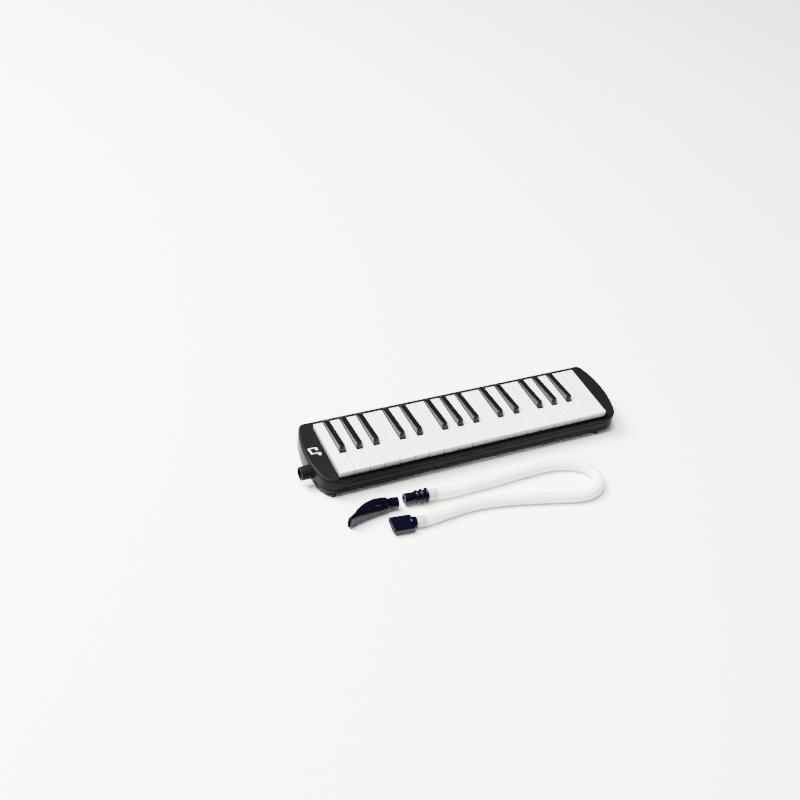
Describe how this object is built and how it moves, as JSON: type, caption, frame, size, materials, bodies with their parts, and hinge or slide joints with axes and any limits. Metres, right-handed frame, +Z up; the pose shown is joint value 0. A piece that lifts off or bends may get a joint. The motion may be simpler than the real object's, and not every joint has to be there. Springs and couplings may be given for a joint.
{
  "type": "melodica",
  "caption": "Free-reed keyboard wind instrument with a wind chest, sprung lever keys and a side inlet, with a short mouthpiece and a hose lying beside it.",
  "frame": {"origin": "centre of the lower case's flat underside", "axes": "+X along the keyboard from bass to treble, -Y towards the player, +Z up"},
  "size_m": [0.4124, 0.1869, 0.0404],
  "materials": {
    "case": "satin black moulded plastic",
    "white_key": "glossy white moulded plastic",
    "black_key": "glossy black moulded plastic",
    "chest": "matt dark grey plastic",
    "steel": "plain steel",
    "brass": "plain brass",
    "rubber": "black rubber",
    "felt": "dark red felt",
    "fitting": "high gloss black plastic",
    "hose": "milky translucent vinyl"
  },
  "bodies": {
    "case": {"lower_case": "case", "upper_case": "case", "key_pivot_rod": "steel", "wind_chest": "chest", "chest_gasket": "rubber", "valve_plate": "chest", "reed_plate_low": "brass", "reed_plate_high": "brass", "key_spring_comb": "steel", "key_stop_felt": "felt", "inlet_tube": "case", "inlet_seal": "rubber", "drain_spring": "steel", "foot_front_left": "rubber", "foot_front_right": "rubber", "foot_rear_left": "rubber", "foot_rear_right": "rubber", "case_screw_front_left": "steel", "case_screw_front_right": "steel", "case_screw_rear_left": "steel", "case_screw_rear_right": "steel"},
    "key_f3": {"key_f3": "white_key"},
    "key_f_sharp3": {"key_f_sharp3": "black_key"},
    "key_g3": {"key_g3": "white_key"},
    "key_g_sharp3": {"key_g_sharp3": "black_key"},
    "key_a3": {"key_a3": "white_key"},
    "key_a_sharp3": {"key_a_sharp3": "black_key"},
    "key_b3": {"key_b3": "white_key"},
    "key_c4": {"key_c4": "white_key"},
    "key_c_sharp4": {"key_c_sharp4": "black_key"},
    "key_d4": {"key_d4": "white_key"},
    "key_d_sharp4": {"key_d_sharp4": "black_key"},
    "key_e4": {"key_e4": "white_key"},
    "key_f4": {"key_f4": "white_key"},
    "key_f_sharp4": {"key_f_sharp4": "black_key"},
    "key_g4": {"key_g4": "white_key"},
    "key_g_sharp4": {"key_g_sharp4": "black_key"},
    "key_a4": {"key_a4": "white_key"},
    "key_a_sharp4": {"key_a_sharp4": "black_key"},
    "key_b4": {"key_b4": "white_key"},
    "key_c5": {"key_c5": "white_key"},
    "key_c_sharp5": {"key_c_sharp5": "black_key"},
    "key_d5": {"key_d5": "white_key"},
    "key_d_sharp5": {"key_d_sharp5": "black_key"},
    "key_e5": {"key_e5": "white_key"},
    "key_f5": {"key_f5": "white_key"},
    "key_f_sharp5": {"key_f_sharp5": "black_key"},
    "key_g5": {"key_g5": "white_key"},
    "key_g_sharp5": {"key_g_sharp5": "black_key"},
    "key_a5": {"key_a5": "white_key"},
    "key_a_sharp5": {"key_a_sharp5": "black_key"},
    "key_b5": {"key_b5": "white_key"},
    "key_c6": {"key_c6": "white_key"},
    "drain_valve": {"drain_button": "black_key", "drain_seal": "rubber"},
    "mouthpiece": {"mouthpiece": "fitting"},
    "hose_set": {"ribbed_hose_connector": "fitting", "hose": "hose", "hose_mouth_end": "fitting"}
  },
  "joints": [
    {"name": "press_f3", "type": "hinge", "parent": "case", "child": "key_f3", "pos_m": [0, 0.01505, 0.01945], "axis": [1, 0, 0], "range_deg": [0, 4], "stiffness_Nm_per_rad": 0.3, "springref_deg": -6.88},
    {"name": "press_f_sharp3", "type": "hinge", "parent": "case", "child": "key_f_sharp3", "pos_m": [0, 0.01505, 0.01945], "axis": [1, 0, 0], "range_deg": [0, 5], "stiffness_Nm_per_rad": 0.3, "springref_deg": -6.88},
    {"name": "press_g3", "type": "hinge", "parent": "case", "child": "key_g3", "pos_m": [0, 0.01505, 0.01945], "axis": [1, 0, 0], "range_deg": [0, 4], "stiffness_Nm_per_rad": 0.3, "springref_deg": -6.88},
    {"name": "press_g_sharp3", "type": "hinge", "parent": "case", "child": "key_g_sharp3", "pos_m": [0, 0.01505, 0.01945], "axis": [1, 0, 0], "range_deg": [0, 5], "stiffness_Nm_per_rad": 0.3, "springref_deg": -6.88},
    {"name": "press_a3", "type": "hinge", "parent": "case", "child": "key_a3", "pos_m": [0, 0.01505, 0.01945], "axis": [1, 0, 0], "range_deg": [0, 4], "stiffness_Nm_per_rad": 0.3, "springref_deg": -6.88},
    {"name": "press_a_sharp3", "type": "hinge", "parent": "case", "child": "key_a_sharp3", "pos_m": [0, 0.01505, 0.01945], "axis": [1, 0, 0], "range_deg": [0, 5], "stiffness_Nm_per_rad": 0.3, "springref_deg": -6.88},
    {"name": "press_b3", "type": "hinge", "parent": "case", "child": "key_b3", "pos_m": [0, 0.01505, 0.01945], "axis": [1, 0, 0], "range_deg": [0, 4], "stiffness_Nm_per_rad": 0.3, "springref_deg": -6.88},
    {"name": "press_c4", "type": "hinge", "parent": "case", "child": "key_c4", "pos_m": [0, 0.01505, 0.01945], "axis": [1, 0, 0], "range_deg": [0, 4], "stiffness_Nm_per_rad": 0.3, "springref_deg": -6.88},
    {"name": "press_c_sharp4", "type": "hinge", "parent": "case", "child": "key_c_sharp4", "pos_m": [0, 0.01505, 0.01945], "axis": [1, 0, 0], "range_deg": [0, 5], "stiffness_Nm_per_rad": 0.3, "springref_deg": -6.88},
    {"name": "press_d4", "type": "hinge", "parent": "case", "child": "key_d4", "pos_m": [0, 0.01505, 0.01945], "axis": [1, 0, 0], "range_deg": [0, 4], "stiffness_Nm_per_rad": 0.3, "springref_deg": -6.88},
    {"name": "press_d_sharp4", "type": "hinge", "parent": "case", "child": "key_d_sharp4", "pos_m": [0, 0.01505, 0.01945], "axis": [1, 0, 0], "range_deg": [0, 5], "stiffness_Nm_per_rad": 0.3, "springref_deg": -6.88},
    {"name": "press_e4", "type": "hinge", "parent": "case", "child": "key_e4", "pos_m": [0, 0.01505, 0.01945], "axis": [1, 0, 0], "range_deg": [0, 4], "stiffness_Nm_per_rad": 0.3, "springref_deg": -6.88},
    {"name": "press_f4", "type": "hinge", "parent": "case", "child": "key_f4", "pos_m": [0, 0.01505, 0.01945], "axis": [1, 0, 0], "range_deg": [0, 4], "stiffness_Nm_per_rad": 0.3, "springref_deg": -6.88},
    {"name": "press_f_sharp4", "type": "hinge", "parent": "case", "child": "key_f_sharp4", "pos_m": [0, 0.01505, 0.01945], "axis": [1, 0, 0], "range_deg": [0, 5], "stiffness_Nm_per_rad": 0.3, "springref_deg": -6.88},
    {"name": "press_g4", "type": "hinge", "parent": "case", "child": "key_g4", "pos_m": [0, 0.01505, 0.01945], "axis": [1, 0, 0], "range_deg": [0, 4], "stiffness_Nm_per_rad": 0.3, "springref_deg": -6.88},
    {"name": "press_g_sharp4", "type": "hinge", "parent": "case", "child": "key_g_sharp4", "pos_m": [0, 0.01505, 0.01945], "axis": [1, 0, 0], "range_deg": [0, 5], "stiffness_Nm_per_rad": 0.3, "springref_deg": -6.88},
    {"name": "press_a4", "type": "hinge", "parent": "case", "child": "key_a4", "pos_m": [0, 0.01505, 0.01945], "axis": [1, 0, 0], "range_deg": [0, 4], "stiffness_Nm_per_rad": 0.3, "springref_deg": -6.88},
    {"name": "press_a_sharp4", "type": "hinge", "parent": "case", "child": "key_a_sharp4", "pos_m": [0, 0.01505, 0.01945], "axis": [1, 0, 0], "range_deg": [0, 5], "stiffness_Nm_per_rad": 0.3, "springref_deg": -6.88},
    {"name": "press_b4", "type": "hinge", "parent": "case", "child": "key_b4", "pos_m": [0, 0.01505, 0.01945], "axis": [1, 0, 0], "range_deg": [0, 4], "stiffness_Nm_per_rad": 0.3, "springref_deg": -6.88},
    {"name": "press_c5", "type": "hinge", "parent": "case", "child": "key_c5", "pos_m": [0, 0.01505, 0.01945], "axis": [1, 0, 0], "range_deg": [0, 4], "stiffness_Nm_per_rad": 0.3, "springref_deg": -6.88},
    {"name": "press_c_sharp5", "type": "hinge", "parent": "case", "child": "key_c_sharp5", "pos_m": [0, 0.01505, 0.01945], "axis": [1, 0, 0], "range_deg": [0, 5], "stiffness_Nm_per_rad": 0.3, "springref_deg": -6.88},
    {"name": "press_d5", "type": "hinge", "parent": "case", "child": "key_d5", "pos_m": [0, 0.01505, 0.01945], "axis": [1, 0, 0], "range_deg": [0, 4], "stiffness_Nm_per_rad": 0.3, "springref_deg": -6.88},
    {"name": "press_d_sharp5", "type": "hinge", "parent": "case", "child": "key_d_sharp5", "pos_m": [0, 0.01505, 0.01945], "axis": [1, 0, 0], "range_deg": [0, 5], "stiffness_Nm_per_rad": 0.3, "springref_deg": -6.88},
    {"name": "press_e5", "type": "hinge", "parent": "case", "child": "key_e5", "pos_m": [0, 0.01505, 0.01945], "axis": [1, 0, 0], "range_deg": [0, 4], "stiffness_Nm_per_rad": 0.3, "springref_deg": -6.88},
    {"name": "press_f5", "type": "hinge", "parent": "case", "child": "key_f5", "pos_m": [0, 0.01505, 0.01945], "axis": [1, 0, 0], "range_deg": [0, 4], "stiffness_Nm_per_rad": 0.3, "springref_deg": -6.88},
    {"name": "press_f_sharp5", "type": "hinge", "parent": "case", "child": "key_f_sharp5", "pos_m": [0, 0.01505, 0.01945], "axis": [1, 0, 0], "range_deg": [0, 5], "stiffness_Nm_per_rad": 0.3, "springref_deg": -6.88},
    {"name": "press_g5", "type": "hinge", "parent": "case", "child": "key_g5", "pos_m": [0, 0.01505, 0.01945], "axis": [1, 0, 0], "range_deg": [0, 4], "stiffness_Nm_per_rad": 0.3, "springref_deg": -6.88},
    {"name": "press_g_sharp5", "type": "hinge", "parent": "case", "child": "key_g_sharp5", "pos_m": [0, 0.01505, 0.01945], "axis": [1, 0, 0], "range_deg": [0, 5], "stiffness_Nm_per_rad": 0.3, "springref_deg": -6.88},
    {"name": "press_a5", "type": "hinge", "parent": "case", "child": "key_a5", "pos_m": [0, 0.01505, 0.01945], "axis": [1, 0, 0], "range_deg": [0, 4], "stiffness_Nm_per_rad": 0.3, "springref_deg": -6.88},
    {"name": "press_a_sharp5", "type": "hinge", "parent": "case", "child": "key_a_sharp5", "pos_m": [0, 0.01505, 0.01945], "axis": [1, 0, 0], "range_deg": [0, 5], "stiffness_Nm_per_rad": 0.3, "springref_deg": -6.88},
    {"name": "press_b5", "type": "hinge", "parent": "case", "child": "key_b5", "pos_m": [0, 0.01505, 0.01945], "axis": [1, 0, 0], "range_deg": [0, 4], "stiffness_Nm_per_rad": 0.3, "springref_deg": -6.88},
    {"name": "press_c6", "type": "hinge", "parent": "case", "child": "key_c6", "pos_m": [0, 0.01505, 0.01945], "axis": [1, 0, 0], "range_deg": [0, 4], "stiffness_Nm_per_rad": 0.3, "springref_deg": -6.88},
    {"name": "drain_press", "type": "slide", "parent": "case", "child": "drain_valve", "axis": [-1, 0, 0], "range_m": [0, 0.0025], "stiffness_N_per_m": 400, "springref_m": -0.001, "deforming": ["drain_spring"]},
    {"name": "mouthpiece_lift", "type": "slide", "parent": "case", "child": "mouthpiece", "axis": [0, 0, 1], "range_m": [0, 0.03]},
    {"name": "hose_lift", "type": "slide", "parent": "case", "child": "hose_set", "axis": [0, 0, 1], "range_m": [0, 0.03]}
  ]
}
